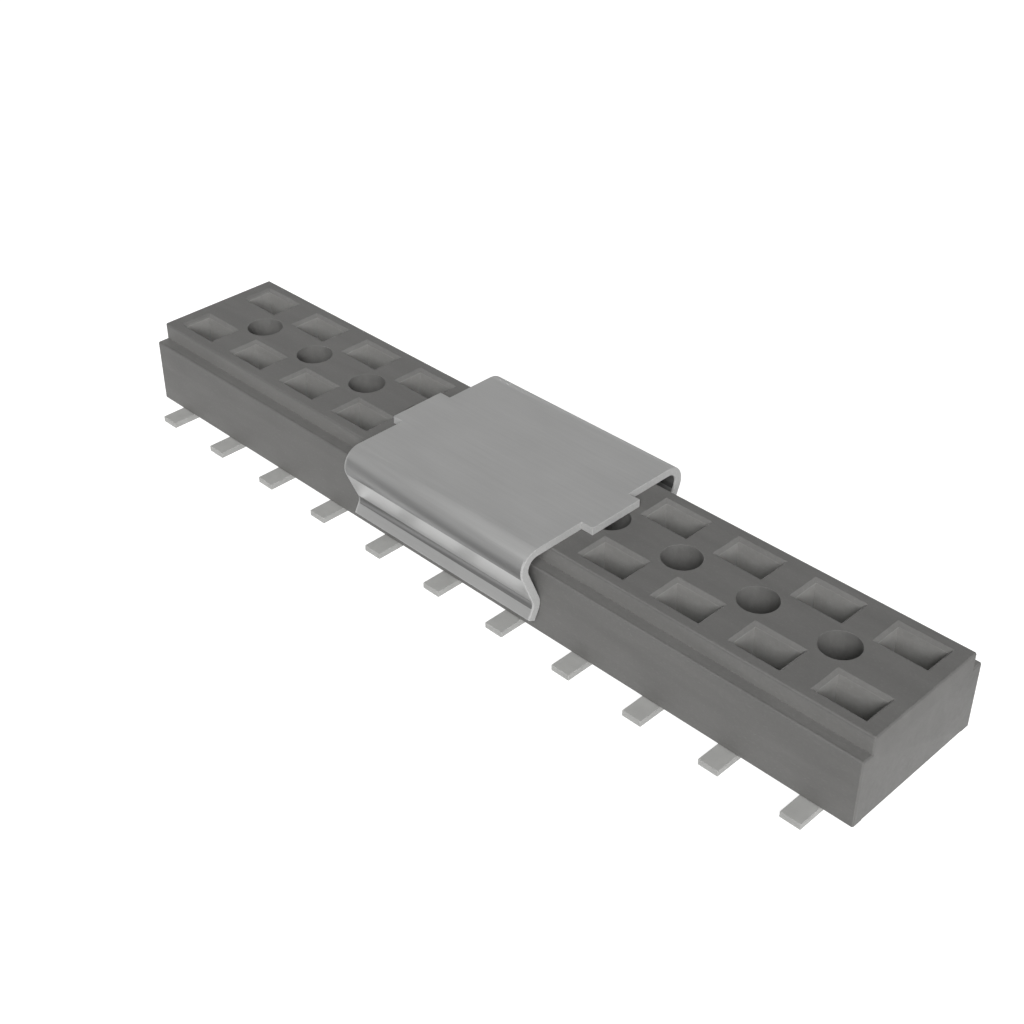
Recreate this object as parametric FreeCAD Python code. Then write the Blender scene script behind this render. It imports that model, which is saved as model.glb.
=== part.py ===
"""Low-profile surface-mount socket strip, 2 x 11 contacts on a 2 mm grid, with a pick-up clip.

Frame, in millimetres: origin at the centre of the solder plane, +X along the rows, +Y to the rear,
+Z up. The solder tails rest on Z = 0.
"""
import FreeCAD, Part
import math
import os

Vector = FreeCAD.Vector

# Grid of the contacts
pitch = 2.00                   # from one column to the next
row_spacing = 2.00             # from the front row to the rear row
columns = 11
end_margin = 1.00              # from the last column to the end of the housing

# Strip that the contacts are stamped from
strip = 0.15
strip_bend = 0.10              # inside radius of its bends

# Housing
body_width = 3.98
body_height = 2.11             # from the underside of the rails to the top face
rail_clearance = 0.01          # between the solder tails and the rails above them
shoulder_width = 0.30          # step along both long edges
shoulder_drop = 0.43
rail_width = 0.28              # rails along the underside
rail_height = 0.045
edge_radius = 0.04             # moulded edges along the body
end_bevel = 0.03               # broken edges round both ends

# Pin openings and the cavities below them
cavity_length = 1.14           # along the row
cavity_width = 0.73
lead_in = 0.075                # bevel round each mouth
lead_in_depth = 0.085
loading_bevel = 0.05           # bevel round each cavity in the underside

# Round core holes on the centre line, between the columns
core_diameter = 0.90
core_depth = 1.40

# Solder tails and bases of the contacts
tail_width = 0.50
tail_reach = 0.59              # beyond the side of the housing
base_width = 0.60              # across the row

# Spring beams of the contacts
shank_clearance = 0.01         # between the shanks and the ends of the cavity
shank_height = 0.32            # upright length above the housing's underside
beam_root_width = 0.50
beam_tip_width = 0.38
tip_bevel = 0.07               # cut corners of the tips
beam_depth = 0.80              # from the top face down to the tips
pin_gap = 0.36                 # between the two beams, with no pin inserted
pinch_bend = 0.12              # inside radius of the bend that touches the pin
tip_flare = 28.0               # degrees from upright, away from the pin
tip_length = 0.11              # straight end above the pinching bend
barb_clearance = 0.005         # between the barbs and the sides of the cavity
barb_height = 0.14
barb_level = 0.12              # barbs above the housing's underside

# Pick-up clip
clip_sheet = 0.20
plate_length = 5.70
tab_length = 0.32              # each tab, beyond the plate
tab_width = 1.51
bend_overhang = 0.11           # from the housing's side to the start of the bend
shoulder_bend = 0.26           # inside radius of the bend beside the plate
flank_lean = 22.8              # degrees from upright, leaning in under the plate
waist_bend = 0.24              # inside radius of the pinching bend, on its outer face
lip_angle = 28.0               # degrees from upright, turning out
lip_length = 0.25
grip_clearance = 0.005         # between the pinching bends and the housing's sides

# Levels and places that follow from the sizes above
rail_level = strip + rail_clearance
underside_level = rail_level + rail_height
top_level = rail_level + body_height
shoulder_level = top_level - shoulder_drop
tip_level = top_level - beam_depth
body_length = (columns - 1) * pitch + 2 * end_margin
body_side = body_width / 2
rail_side = body_side - rail_width
row_place = row_spacing / 2


def column_place(index):
    """X of a column, counted from 0 at the left end."""
    return (index - (columns - 1) / 2) * pitch


def line(start, end):
    return Part.LineSegment(start, end).toShape()


def face_of(edges):
    return Part.Face(Part.Wire(edges))


def centred_box(length, width, height, centre_x, centre_y, bottom):
    corner = Vector(centre_x - length / 2, centre_y - width / 2, bottom)
    return Part.makeBox(length, width, height, corner)


def rounded_face(corners, place):
    """Face inside a polygon whose corners are (u, v, radius); place turns (u, v) into a point."""
    edges = []
    previous_end = None
    first_start = None
    for index, (u, v, radius) in enumerate(corners):
        here = Vector(u, v, 0)
        before = Vector(*corners[index - 1][:2], 0)
        after = Vector(*corners[(index + 1) % len(corners)][:2], 0)
        back = (before - here).normalize()
        ahead = (after - here).normalize()
        half_angle = back.getAngle(ahead) / 2
        reach = radius / math.tan(half_angle)
        start = here + back * reach
        end = here + ahead * reach
        if previous_end is not None:
            edges.append(line(place(previous_end.x, previous_end.y), place(start.x, start.y)))
        if radius > 0:
            inward = (back + ahead).normalize()
            middle = here + inward * (radius / math.sin(half_angle) - radius)
            spots = [place(spot.x, spot.y) for spot in (start, middle, end)]
            edges.append(Part.Arc(*spots).toShape())
        if first_start is None:
            first_start = start
        previous_end = end
    edges.append(line(place(previous_end.x, previous_end.y), place(first_start.x, first_start.y)))
    return face_of(edges)


def mirrored(corners):
    """Corners of a right half, in order, completed by their mirror images across v."""
    return corners + [(-u, v, radius) for u, v, radius in reversed(corners)]


def polygon_face(corners):
    return Part.Face(Part.makePolygon(corners + [corners[0]]))


def bevel_block(length, width, spread, depth, centre_x, centre_y, level):
    """Block of the given length and width at level that widens by spread up to level + depth."""
    def loop(grow, height):
        half_x = length / 2 + grow
        half_y = width / 2 + grow
        return [Vector(centre_x + sx * half_x, centre_y + sy * half_y, height)
                for sx, sy in ((-1, -1), (1, -1), (1, 1), (-1, 1))]

    narrow = loop(0, level)
    wide = loop(spread, level + depth)
    sides = [[narrow[i - 1], narrow[i], wide[i], wide[i - 1]] for i in range(len(narrow))]
    return Part.Solid(Part.Shell([polygon_face(corners) for corners in [narrow, wide] + sides]))


class BentSheet:
    """Edge-on view of a bent sheet. Its near face follows straight runs and tangent bends, and its
    far face lies one thickness to the left of them. Angles are in degrees in the (u, v) view."""

    def __init__(self, u, v, thickness):
        self.point = (u, v)
        self.heading = 0.0
        self.thickness = thickness
        self.near = []
        self.far = []

    def left_of(self, point, heading, distance):
        return (point[0] - distance * math.sin(heading), point[1] + distance * math.cos(heading))

    def straight(self, length):
        start = self.point
        end = (start[0] + length * math.cos(self.heading), start[1] + length * math.sin(self.heading))
        self.near.append((start, end))
        self.far.append((self.left_of(start, self.heading, self.thickness),
                         self.left_of(end, self.heading, self.thickness)))
        self.point = end
        return self

    def bend(self, angle, inside_radius):
        """Turns left for a positive angle and right for a negative one."""
        turn = math.radians(angle)
        outside_radius = inside_radius + self.thickness
        if turn > 0:
            side, near_radius, far_radius = 1, outside_radius, inside_radius
        else:
            side, near_radius, far_radius = -1, inside_radius, outside_radius
        centre = self.left_of(self.point, self.heading, side * near_radius)
        for face, radius in ((self.near, near_radius), (self.far, far_radius)):
            face.append(tuple(self.left_of(centre, self.heading + part * turn, -side * radius)
                              for part in (0, 0.5, 1)))
        self.heading += turn
        self.point = self.near[-1][-1]
        return self

    def face(self, place):
        """The section as a face; place turns (u, v) into a point."""
        def edge(spots):
            spots = [place(*spot) for spot in spots]
            if len(spots) == 2:
                return line(*spots)
            return Part.Arc(*spots).toShape()

        start_cap = edge((self.far[0][0], self.near[0][0]))
        end_cap = edge((self.near[-1][-1], self.far[-1][-1]))
        return_edges = [edge(spots[::-1]) for spots in reversed(self.far)]
        return face_of([start_cap] + [edge(spots) for spots in self.near] + [end_cap] + return_edges)


def make_body():
    """The moulded block: shoulders at the top, rails at the bottom, no sharp outer edge."""
    shoulder = body_side - shoulder_width
    corners = [(rail_side, underside_level, 0), (rail_side, rail_level, 0),
               (body_side, rail_level, edge_radius), (body_side, shoulder_level, edge_radius),
               (shoulder, shoulder_level, 0), (shoulder, top_level, edge_radius)]
    section = rounded_face(mirrored(corners), lambda u, v: Vector(-body_length / 2, u, v))
    body = section.extrude(Vector(body_length, 0, 0))
    end_edges = [edge for edge in body.Edges
                 if abs(abs(edge.CenterOfMass.x) - body_length / 2) < end_bevel
                 and edge.CenterOfMass.z > underside_level]
    return body.makeChamfer(end_bevel, end_edges)


def cavity_cuts(x, y):
    """Everything taken out for one contact: the mouth, the straight cavity and its lower bevel."""
    mouth = bevel_block(cavity_length, cavity_width, lead_in, lead_in_depth,
                        x, y, top_level - lead_in_depth)
    cavity = centred_box(cavity_length, cavity_width, top_level - underside_level, x, y, underside_level)
    loading = bevel_block(cavity_length, cavity_width, loading_bevel, -loading_bevel,
                          x, y, underside_level + loading_bevel)
    return [mouth, cavity, loading]


def make_housing():
    cuts = []
    for index in range(columns):
        for y in (-row_place, row_place):
            cuts += cavity_cuts(column_place(index), y)
    for index in range(columns - 1):
        floor = Vector(column_place(index) + pitch / 2, 0, top_level - core_depth)
        cuts.append(Part.makeCylinder(core_diameter / 2, core_depth, floor))
    return make_body().cut(cuts).removeSplitter()


def beam_lean(shank_face, pinch_level):
    """Angle and straight length of a beam that touches the pin at half the gap, at pinch_level."""
    radii = strip_bend + strip + pinch_bend
    across = pin_gap / 2 + pinch_bend + strip - shank_face + strip_bend + strip
    rise = pinch_level - (underside_level + shank_height)
    length = math.sqrt(across ** 2 + rise ** 2 - radii ** 2)
    lean = math.degrees(math.atan2(rise, across) - math.atan2(length, radii))
    return lean, length


def contact_outline():
    """Front view of the beams: a barbed shank that tapers to a tip with cut corners, as a solid."""
    half_base = base_width / 2
    barb_tip = cavity_width / 2 - barb_clearance
    barb_foot = underside_level + barb_level
    neck_level = underside_level + shank_height
    corners = [(half_base, 0, 0), (half_base, barb_foot, 0), (barb_tip, barb_foot, 0),
               (half_base, barb_foot + barb_height, 0), (half_base, neck_level, 0),
               (beam_root_width / 2, neck_level, 0),
               (beam_tip_width / 2, tip_level - tip_bevel, 0),
               (beam_tip_width / 2 - tip_bevel, tip_level, 0)]
    face = rounded_face(mirrored(corners), lambda u, v: Vector(-cavity_length / 2, u - row_place, v))
    return face.extrude(Vector(cavity_length, 0, 0))


def contact_beams():
    """Both beams and the base between them, bent up from one cross strip."""
    shank_face = cavity_length / 2 - shank_clearance
    flare = math.radians(tip_flare)
    pinch_level = tip_level - (strip + pinch_bend) * math.sin(flare) - tip_length * math.cos(flare)
    lean, beam_length = beam_lean(shank_face, pinch_level)
    half = BentSheet(0, 0, strip)
    half.straight(shank_face - strip - strip_bend).bend(90, strip_bend)
    half.straight(underside_level + shank_height - strip - strip_bend).bend(lean, strip_bend)
    half.straight(beam_length).bend(-lean - tip_flare, pinch_bend).straight(tip_length)
    face = half.face(lambda u, v: Vector(u, -row_place - cavity_width / 2, v))
    right = face.extrude(Vector(0, cavity_width, 0))
    left = right.mirror(Vector(0, 0, 0), Vector(1, 0, 0))
    return right.fuse(left).common(contact_outline())


def contact_tail():
    """Solder tail, flat from its tip, under the rail, to the far edge of the base."""
    tip = body_side + tail_reach
    inner_end = row_place - base_width / 2
    return centred_box(tail_width, tip - inner_end, strip, 0, -(tip + inner_end) / 2, 0)


def make_contact():
    """Contact of the front row, at X = 0."""
    return contact_tail().fuse(contact_beams()).removeSplitter()


def flank_length():
    """Straight part of the flank that brings the pinching bend to the housing's side."""
    lean = math.radians(flank_lean)
    overhang = bend_overhang - grip_clearance + shoulder_bend * math.cos(lean)
    bulge = (waist_bend + clip_sheet) * (1 - math.cos(lean))
    return (overhang - bulge) / math.sin(lean)


def make_pickup_clip():
    side = BentSheet(0, top_level, clip_sheet)
    side.straight(body_side + bend_overhang).bend(-90 - flank_lean, shoulder_bend)
    side.straight(flank_length()).bend(flank_lean + lip_angle, waist_bend).straight(lip_length)
    face = side.face(lambda u, v: Vector(-plate_length / 2, u, v))
    rear = face.extrude(Vector(plate_length, 0, 0))
    front = rear.mirror(Vector(0, 0, 0), Vector(0, 1, 0))
    tabs = centred_box(plate_length + 2 * tab_length, tab_width, clip_sheet, 0, 0, top_level)
    return rear.fuse([front, tabs]).removeSplitter()


def save(name, shape):
    shape.exportStep(os.path.join("parts", name + ".step"))


def main():
    os.makedirs("parts", exist_ok=True)
    save("housing", make_housing())
    save("pickup_clip", make_pickup_clip())
    front = make_contact()
    rear = front.rotated(Vector(0, 0, 0), Vector(0, 0, 1), 180)
    for index in range(columns):
        place = Vector(column_place(index), 0, 0)
        save("contact_front_%02d" % (index + 1), front.translated(place))
        save("contact_rear_%02d" % (index + 1), rear.translated(place))


main()
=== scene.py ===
"""Looks of a low-profile surface-mount socket strip: moulded housing, tinned contacts, pick-up clip.

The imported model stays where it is; this script gives each piece its edges and finish, and adds the
floor, the light and the camera. Lengths are in millimetres in the part's frame, and are turned into
metres where Blender takes them.
"""
import math

import bpy
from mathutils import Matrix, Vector

MM = 0.001

# Camera of the photograph
camera_place = (21.580, -21.578, 22.507)
camera_target = (0.0, 0.0, 0.927)
camera_lens = 56.98
camera_sensor = 36.0
camera_near = 1.0
camera_far = 2000.0

# Broken outer edges: widths, and the angles in degrees that tell an edge from a flat
clip_edge = 0.018
contact_edge = 0.012
housing_edge = 0.010
edge_steps = 2
edge_angle = 35.0
flat_angle = 0.5
same_point = 0.0001

# Housing: a glass-filled moulding
plastic_colour = (0.145, 0.1435, 0.139)
plastic_texture = 0.003         # depth of the mould's texture
# Walls inside it: painted light against the shade in the openings and on their rims, painted shade in the
# core holes; brightness against outside
opening_wall_painted_light = 1.68       # long walls of the pin openings
opening_end_painted_light = 1.88        # their end walls
lead_in_painted_light = 1.16            # sloping rims
core_wall_painted_shade = 0.80          # round core holes
inside_length = 10.6            # all these walls lie within it, from the middle
inside_width = 1.45
core_width = 0.55               # and the core holes' walls within this
upright_limit = 0.5             # a face is upright when its normal's height is below this
level_limit = 0.9               # and level when it is above this
facing_limit = 0.7              # a face looks along an axis when its normal's share is above this

# Shoulders along the long sides: painted light against the shade their wall and ledge cast on each other;
# brightness against outside
step_wall_painted_light = 1.22
ledge_painted_light = 1.18
shoulder_from = 1.60            # they lie between these two, from the middle line
shoulder_to = 1.95
shoulder_low = 1.80             # and between these heights
shoulder_high = 2.23
shoulder_fade = 0.04

# Clip: rolled strip, with cut faces at its ends and beside the tabs
steel_colour = (0.48, 0.48, 0.475)
steel_metallic = 0.8
steel_grain = 0.0008            # depth of the rolling grain
cut_metallic = 0.3
cut_roughness = 0.75
tabs_from = 2.8                 # from the middle along X, only the tabs have faces across it
# Painted shade in bands across the lower bends and the waist, standing in for darker reflections there:
# heights, and share of the colour that is left
bend_painted_from = 1.83
bend_painted_to = 2.36
bend_painted_fade = 0.53
bend_painted_shade = 0.36
waist_painted_from = 0.895
waist_painted_to = 1.105
waist_painted_fade = 0.01
waist_painted_shade = 0.44

# Contacts: matte tin plate
tin_colour = (0.485, 0.485, 0.472)
tin_metallic = 0.15
tin_texture = 0.0012
stamped_and_painted_side_shade = 0.80       # stamped edges duller, and partly painted shade, on every face not facing up or down

refraction = 1.5
soft_gloss = 0.3                # specular level of the plastic and the tin
full_gloss = 0.5

# Floor; past the near ring it is plain white
floor_half = 400.0
floor_drop = 0.004              # below the solder tails
floor_near = 25.0
floor_far = 60.0
floor_colour = (0.45, 0.45, 0.45, 1)
floor_lift = 0.86               # white that the camera and the metal see on top of the lit floor
mirrored_white = 3.6            # the metal mirrors a white floor up to here from the middle line
mirrored_dim = 4.6              # and a dim one from here on, as with black cards beside the part
mirrored_level = 0.42

# Lamps: direction from the part to the lamp, power, and width in degrees. A power of pi lights a
# facing surface fully. The lamp under the part shines through the floor, which stops no light.
key_direction = (0.534, -0.640, 0.545)
lamps = {
    "key": (key_direction, 3.30, 34.0),
    "side": ((0.99, -0.10, 0.08), 0.90, 30.0),
    "front": ((0.10, -0.99, 0.08), 0.20, 30.0),
    "back": ((-0.75, 0.66, 0.0), 4.80, 30.0),
    "under": ((0.10, -0.15, -0.98), 1.60, 40.0),
}
lamp_distance = 300.0
room_level = 0.10               # even light from the whole sky
# Sky that the metal mirrors: sine of the height above the horizon, and brightness there
sky_steps = ((0.0, 0.76), (0.21, 0.64), (0.57, 0.50), (0.79, 0.68))
softbox_level = 0.6             # brighter patch of that sky round the key lamp's direction
softbox_inner = 0.95            # cosines of the patch's radius where it starts and ends to fade
softbox_outer = 0.82


def metres(point):
    return Vector(point) * MM


class Nodes:
    """Short ways to build a node tree. A value is a number, a colour or another node's socket."""

    def __init__(self, tree):
        self.tree = tree

    def add(self, kind, inputs=None, **settings):
        """A node with its settings, and its inputs by name or number."""
        node = self.tree.nodes.new(kind)
        for name, value in settings.items():
            setattr(node, name, value)
        for name, value in (inputs or {}).items():
            self.feed(node.inputs[name], value)
        return node

    def feed(self, socket, value):
        if isinstance(value, bpy.types.NodeSocket):
            self.tree.links.new(value, socket)
        else:
            socket.default_value = value

    def maths(self, operation, first, second=0.0):
        return self.add("ShaderNodeMath", {0: first, 1: second}, operation=operation).outputs[0]

    def ranged(self, value, low, high, to_low=0.0, to_high=1.0, curve="LINEAR"):
        """The value's stretch from low to high, turned into to_low to to_high."""
        inputs = {"Value": value, "From Min": low, "From Max": high, "To Min": to_low, "To Max": to_high}
        return self.add("ShaderNodeMapRange", inputs, interpolation_type=curve).outputs["Result"]

    def part(self, vector, axis):
        """One component of a vector."""
        return self.add("ShaderNodeSeparateXYZ", {0: vector}).outputs[axis]

    def size(self, vector, axis):
        """One component of a vector, without its sign."""
        return self.maths("ABSOLUTE", self.part(vector, axis))

    def blended(self, mask, first, second):
        """Second where the mask is 1, and first where it is 0."""
        return self.add("ShaderNodeMix", {"Factor": mask, "A": first, "B": second}).outputs["Result"]

    def shader_blend(self, mask, first, second):
        """Shader second where the mask is 1, and shader first where it is 0."""
        return self.add("ShaderNodeMixShader", {0: mask, 1: first, 2: second}).outputs[0]

    def glow(self, level):
        return self.add("ShaderNodeEmission", {"Color": (1, 1, 1, 1), "Strength": level}).outputs[0]

    def ray_kinds(self):
        """1 for rays of the camera; and 1 for rays of the camera, mirrors and glass, 0 for the rest."""
        path = self.add("ShaderNodeLightPath").outputs
        mirrored = self.maths("MAXIMUM", path["Is Glossy Ray"], path["Is Transmission Ray"])
        return path["Is Camera Ray"], self.maths("MAXIMUM", path["Is Camera Ray"], mirrored)


class Finish(Nodes):
    """A Principled material whose textures are laid out in millimetres in the part's frame."""

    def __init__(self, name, metallic=0.0, gloss=full_gloss):
        self.material = bpy.data.materials.new(name)
        self.material.use_nodes = True
        super().__init__(self.material.node_tree)
        self.shader = self.tree.nodes["Principled BSDF"]
        self.set("Metallic", metallic)
        self.set("Specular IOR Level", gloss)
        self.set("IOR", refraction)
        coordinates = self.add("ShaderNodeTexCoord").outputs
        self.place = coordinates["Object"]
        self.normal = coordinates["Normal"]

    def set(self, name, value):
        self.feed(self.shader.inputs[name], value)

    def noise(self, per_mm, detail=2.0, distortion=0.0):
        """Noise between 0 and 1, with so many texture units in a millimetre along X, Y and Z."""
        scale = [value / MM for value in per_mm]
        place = self.add("ShaderNodeMapping", {"Vector": self.place, "Scale": scale}).outputs["Vector"]
        inputs = {"Vector": place, "Scale": 1.0, "Detail": detail, "Distortion": distortion}
        return self.add("ShaderNodeTexNoise", inputs).outputs["Fac"]

    def around(self, noise, middle, amount, reach=0.2):
        """The noise's span of reach on each side of its mean, turned into an amount round a middle."""
        return self.ranged(noise, 0.5 - reach, 0.5 + reach, middle - amount, middle + amount)

    def times(self, *factors):
        product = factors[0]
        for factor in factors[1:]:
            product = self.maths("MULTIPLY", product, factor)
        return product

    def beyond(self, axis, distance):
        """1 for places farther than this from the middle, along one axis."""
        return self.maths("GREATER_THAN", self.size(self.place, axis), distance * MM)

    def facing(self, axis, limit=facing_limit):
        """1 for faces whose normal lies along an axis, by more than a limit."""
        return self.maths("GREATER_THAN", self.size(self.normal, axis), limit)

    def band(self, distance, low, high, fade):
        """1 where a distance is between two others; it ends sharply at low and fades in below high."""
        below_high = self.ranged(distance, (high - fade) * MM, high * MM, 1.0, 0.0)
        return self.times(below_high, self.maths("GREATER_THAN", distance, low * MM))

    def tinted(self, colour, shade):
        """A colour made lighter or darker by a factor that varies."""
        node = self.add("ShaderNodeVectorMath", {0: colour, "Scale": shade}, operation="SCALE")
        self.set("Base Color", node.outputs["Vector"])

    def relief(self, height, depth):
        """Surface relief; height runs from 0 to 1 over the depth."""
        inputs = {"Height": height, "Distance": depth * MM, "Strength": 1.0}
        self.set("Normal", self.add("ShaderNodeBump", inputs).outputs["Normal"])


def painted_inner_walls(finish):
    """Painted light on the openings' walls and rims and painted shade in the core holes, as brightness
    against outside by where they lie and face; 1 elsewhere.
    """
    outside = finish.maths("MAXIMUM", finish.beyond("X", inside_length), finish.beyond("Y", inside_width))
    level = finish.maths("MAXIMUM", outside, finish.facing("Z", level_limit))
    sloping = finish.maths("MAXIMUM", outside, finish.facing("Z", upright_limit))
    opening = finish.blended(finish.facing("X", upright_limit), opening_wall_painted_light, opening_end_painted_light)
    wall = finish.blended(finish.beyond("Y", core_width), core_wall_painted_shade, opening)
    return finish.blended(level, finish.blended(sloping, wall, lead_in_painted_light), 1.0)


def painted_shoulder_light(finish):
    """Painted light on the shoulders' wall and ledge, against the shade they cast on each other, as
    brightness against the outside, and 1 everywhere else.
    """
    across = finish.band(finish.size(finish.place, "Y"), shoulder_from, shoulder_to, shoulder_fade)
    upward = finish.band(finish.part(finish.place, "Z"), shoulder_low, shoulder_high, shoulder_fade)
    shade = finish.blended(finish.facing("Z", upright_limit), step_wall_painted_light, ledge_painted_light)
    shoulder = finish.blended(finish.times(across, upward), 1.0, shade)
    return finish.blended(finish.facing("X", upright_limit), shoulder, 1.0)


def moulded_plastic():
    """Dark grey glass-filled moulding: faint flow streaks, a fine mould texture and tiny flecks, with
    painted light and shade on its inner walls and shoulders.
    """
    finish = Finish("moulded_plastic", gloss=soft_gloss)
    flow = finish.noise((0.35, 2.2, 2.2), detail=3.0, distortion=0.6)
    mottle = finish.noise((9.0, 9.0, 9.0), detail=3.0)
    fleck = finish.noise((14.0, 60.0, 60.0), detail=1.0)
    streaks = finish.around(flow, 1.0, 0.06)
    cloudiness = finish.around(mottle, 1.0, 0.04)
    glints = finish.ranged(fleck, 0.62, 0.74, 1.0, 1.18)
    # painted light and shade on the inner walls and shoulders
    painted_light_and_shade = finish.times(painted_inner_walls(finish), painted_shoulder_light(finish))
    finish.tinted(plastic_colour, finish.times(streaks, cloudiness, glints, painted_light_and_shade))
    finish.set("Roughness", finish.around(mottle, 0.56, 0.06))
    finish.relief(finish.noise((22.0, 22.0, 22.0)), plastic_texture)
    return finish.material


def rolled_steel():
    """Satin stainless strip: grain along the rolling direction, cloudy patches, and painted shade in bands
    across the lower bends and the waist, standing in for darker reflections there. Its cut faces are duller
    and have no grain."""
    finish = Finish("rolled_steel")
    beside_tab = finish.times(finish.beyond("X", tabs_from), finish.facing("Y"))
    cut = finish.maths("MAXIMUM", finish.facing("X"), beside_tab)
    fine = finish.noise((1.0, 38.0, 38.0), detail=3.0)
    coarse = finish.noise((0.5, 11.0, 11.0))
    grain = finish.blended(0.5, fine, coarse)
    cloudiness = finish.around(finish.noise((0.5, 0.9, 0.9)), 1.0, 0.03)
    streaks = finish.around(grain, 1.0, 0.04, reach=0.15)
    height = finish.part(finish.place, "Z")
    bend = finish.band(height, bend_painted_from, bend_painted_to, bend_painted_fade)
    waist = finish.band(height, waist_painted_from, waist_painted_to, waist_painted_fade)
    bend_painted_factor = finish.blended(bend, 1.0, bend_painted_shade)
    waist_painted_factor = finish.blended(waist, 1.0, waist_painted_shade)
    # rolled faces' tone, with painted shade on the lower bends and the waist
    rolled = finish.times(cloudiness, streaks, bend_painted_factor, waist_painted_factor)
    speckle = finish.around(finish.noise((26.0, 26.0, 26.0)), 1.06, 0.07)
    rolled_roughness = finish.around(grain, 0.37, 0.05, reach=0.15)
    finish.tinted(steel_colour, finish.blended(cut, rolled, speckle))
    finish.set("Metallic", finish.blended(cut, steel_metallic, cut_metallic))
    finish.set("Roughness", finish.blended(cut, rolled_roughness, cut_roughness))
    finish.relief(grain, steel_grain)
    return finish.material


def matte_tin():
    """Matte tin plate: fine crystalline grain and soft clouds, darker on faces not facing up or down:
    duller stamped edges, and partly painted shade.
    """
    finish = Finish("matte_tin", metallic=tin_metallic, gloss=soft_gloss)
    grain = finish.noise((30.0, 30.0, 30.0))
    cloudiness = finish.around(finish.noise((3.0, 3.0, 3.0)), 1.0, 0.05)
    # darker on faces not facing up or down: stamped edges are duller, and partly painted shade that leaves
    # the tops lighter
    edges = finish.blended(finish.facing("Z"), stamped_and_painted_side_shade, 1.0)
    finish.tinted(tin_colour, finish.times(cloudiness, edges))
    finish.set("Roughness", finish.around(grain, 0.56, 0.06))
    finish.relief(grain, tin_texture)
    return finish.material


def outer_edge_finder():
    """Geometry nodes that give every sharp outward edge a bevel weight of 1, and inner corners none."""
    group = bpy.data.node_groups.new("outer_edges", "GeometryNodeTree")
    for direction in ("INPUT", "OUTPUT"):
        group.interface.new_socket("Geometry", in_out=direction, socket_type="NodeSocketGeometry")
    nodes = Nodes(group)
    angle = nodes.add("GeometryNodeInputMeshEdgeAngle").outputs["Signed Angle"]
    sharp = nodes.maths("GREATER_THAN", angle, math.radians(edge_angle))
    mesh = nodes.add("NodeGroupInput").outputs[0]
    store = nodes.add("GeometryNodeStoreNamedAttribute", data_type="FLOAT", domain="EDGE")
    nodes.feed(store.inputs["Geometry"], mesh)
    nodes.feed(store.inputs["Name"], "bevel_weight_edge")
    nodes.feed(store.inputs["Value"], sharp)
    nodes.add("NodeGroupOutput", {0: store.outputs[0]})
    return group


def break_edges(node, width, finder):
    """Rounds a CAD node's sharp outer edges a little, so that they catch the light."""
    weld = node.modifiers.new("one_skin", "WELD")
    weld.merge_threshold = same_point * MM
    flats = node.modifiers.new("whole_flats", "DECIMATE")
    flats.decimate_type = "DISSOLVE"
    flats.angle_limit = math.radians(flat_angle)
    edges = node.modifiers.new("outer_edges", "NODES")
    edges.node_group = finder
    bevel = node.modifiers.new("broken_edges", "BEVEL")
    bevel.width = width * MM
    bevel.segments = edge_steps
    bevel.limit_method = "WEIGHT"
    bevel.harden_normals = True


def dress(nodes):
    """Gives each CAD node its finish and its broken edges."""
    plastic = moulded_plastic()
    steel = rolled_steel()
    tin = matte_tin()
    special = {"housing": (plastic, housing_edge), "pickup_clip": (steel, clip_edge)}
    finder = outer_edge_finder()
    for name, node in nodes.items():
        material, width = special.get(name, (tin, contact_edge))
        node.data.materials.clear()
        node.data.materials.append(material)
        break_edges(node, width, finder)


def pale_floor():
    """Lit paint near the part, for its shadow, and even white far away. Mirrors see it dimmed beside
    the part, and from below it can be seen through."""
    material = bpy.data.materials.new("pale_floor")
    material.use_nodes = True
    nodes = Nodes(material.node_tree)
    nodes.tree.nodes.clear()
    place = nodes.add("ShaderNodeTexCoord").outputs["Object"]
    distance = nodes.add("ShaderNodeVectorMath", {0: place}, operation="LENGTH").outputs["Value"]
    far = nodes.ranged(distance, floor_near * MM, floor_far * MM, curve="SMOOTHSTEP")
    aside = nodes.ranged(nodes.size(place, "Y"), mirrored_white * MM, mirrored_dim * MM, curve="SMOOTHSTEP")
    paint = nodes.add("ShaderNodeBsdfDiffuse", {"Color": floor_colour}).outputs[0]
    lifted = nodes.add("ShaderNodeAddShader", {0: paint, 1: nodes.glow(floor_lift)}).outputs[0]
    shown = nodes.shader_blend(far, lifted, nodes.glow(1.0))
    mirrored = nodes.shader_blend(aside, shown, nodes.glow(mirrored_level))
    camera_ray, seen = nodes.ray_kinds()
    above = nodes.shader_blend(seen, paint, nodes.shader_blend(camera_ray, mirrored, shown))
    clear = nodes.add("ShaderNodeBsdfTransparent").outputs[0]
    from_below = nodes.add("ShaderNodeNewGeometry").outputs["Backfacing"]
    surface = nodes.shader_blend(from_below, above, clear)
    nodes.add("ShaderNodeOutputMaterial", {"Surface": surface})
    return material


def make_floor():
    bpy.ops.mesh.primitive_plane_add(size=2 * floor_half * MM, location=(0, 0, -floor_drop * MM))
    floor = bpy.context.object
    floor.name = "floor"
    floor.data.materials.append(pale_floor())
    floor.visible_shadow = False


def make_lamp(name, direction, power, width):
    """Distant soft lamp, not seen in mirrors."""
    light = bpy.data.lights.new(name, "SUN")
    light.energy = power
    light.angle = math.radians(width)
    lamp = bpy.data.objects.new(name, light)
    lamp.visible_glossy = False
    lamp.location = metres(direction) * lamp_distance
    lamp.rotation_mode = "QUATERNION"
    lamp.rotation_quaternion = (-Vector(direction)).to_track_quat("-Z", "Y")
    bpy.context.scene.collection.objects.link(lamp)


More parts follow.
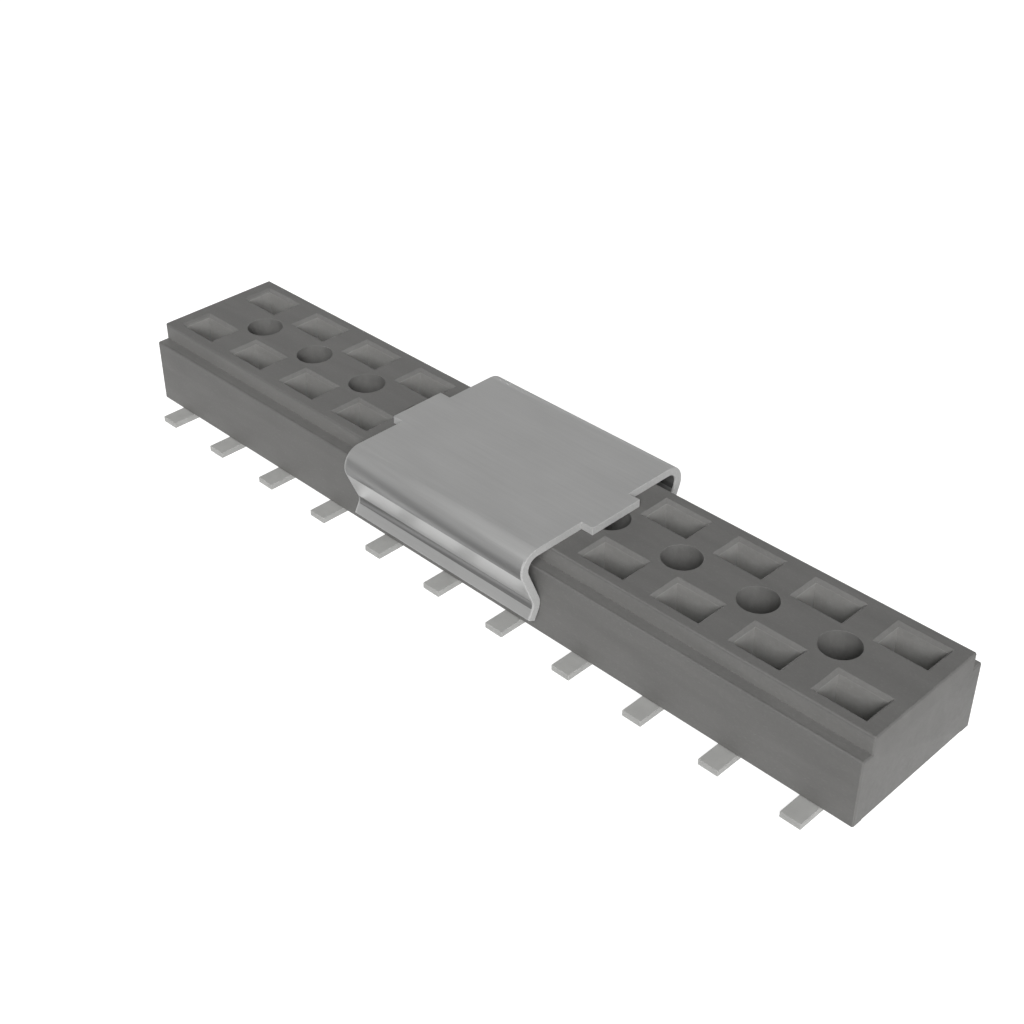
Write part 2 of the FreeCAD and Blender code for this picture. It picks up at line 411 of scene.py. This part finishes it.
def make_world():
    """Even room light. The camera sees it as white, and the metal mirrors a soft sky."""
    world = bpy.data.worlds.new("studio")
    world.use_nodes = True
    nodes = Nodes(world.node_tree)
    direction = nodes.add("ShaderNodeTexCoord").outputs["Generated"]
    sky = nodes.add("ShaderNodeValToRGB", {"Fac": nodes.part(direction, "Z")})
    sky.color_ramp.interpolation = "EASE"
    stops = sky.color_ramp.elements
    for height, level in sky_steps[2:]:
        stops.new(height)
    for stop, (height, level) in zip(stops, sky_steps):
        stop.position = height
        stop.color = (level, level, level, 1)
    key = Vector(key_direction).normalized()
    toward_key = nodes.add("ShaderNodeVectorMath", {0: direction, 1: key}, operation="DOT_PRODUCT")
    nearness = toward_key.outputs["Value"]
    patch = nodes.ranged(nearness, softbox_outer, softbox_inner, 0.0, softbox_level, curve="SMOOTHSTEP")
    mirrored = nodes.add("ShaderNodeVectorMath", {0: sky.outputs["Color"], 1: patch}, operation="ADD")
    camera_ray, seen = nodes.ray_kinds()
    shown = grey_blend(nodes, camera_ray, mirrored.outputs["Vector"], 1.0)
    colour = grey_blend(nodes, seen, room_level, shown)
    nodes.feed(nodes.tree.nodes["Background"].inputs["Color"], colour)
    bpy.context.scene.world = world


def grey_blend(nodes, mask, first, second):
    """Colour second where the mask is 1, and first where it is 0; each is a grey level or a socket."""
    node = nodes.add("ShaderNodeMix", {"Factor": mask}, data_type="RGBA")
    for socket, value in zip(node.inputs[6:8], (first, second)):
        nodes.feed(socket, (value, value, value, 1) if isinstance(value, float) else value)
    return node.outputs[2]


def make_camera():
    camera = bpy.data.objects.new("camera", bpy.data.cameras.new("camera"))
    camera.data.lens = camera_lens
    camera.data.sensor_width = camera_sensor
    camera.data.clip_start = camera_near * MM
    camera.data.clip_end = camera_far * MM
    camera.location = metres(camera_place)
    camera.rotation_mode = "QUATERNION"
    camera.rotation_quaternion = (metres(camera_target) - camera.location).to_track_quat("-Z", "Y")
    bpy.context.scene.collection.objects.link(camera)
    bpy.context.scene.camera = camera


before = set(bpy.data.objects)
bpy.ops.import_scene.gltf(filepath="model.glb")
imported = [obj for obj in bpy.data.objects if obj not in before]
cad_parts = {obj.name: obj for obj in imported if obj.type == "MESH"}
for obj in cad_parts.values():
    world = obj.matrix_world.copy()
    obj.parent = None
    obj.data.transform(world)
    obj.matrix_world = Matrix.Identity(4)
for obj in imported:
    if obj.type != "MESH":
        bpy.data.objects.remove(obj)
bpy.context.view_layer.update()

bpy.context.scene.view_settings.view_transform = "Standard"
make_camera()
make_world()
make_floor()
for name, (direction, power, width) in lamps.items():
    make_lamp(name, direction, power, width)
dress(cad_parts)
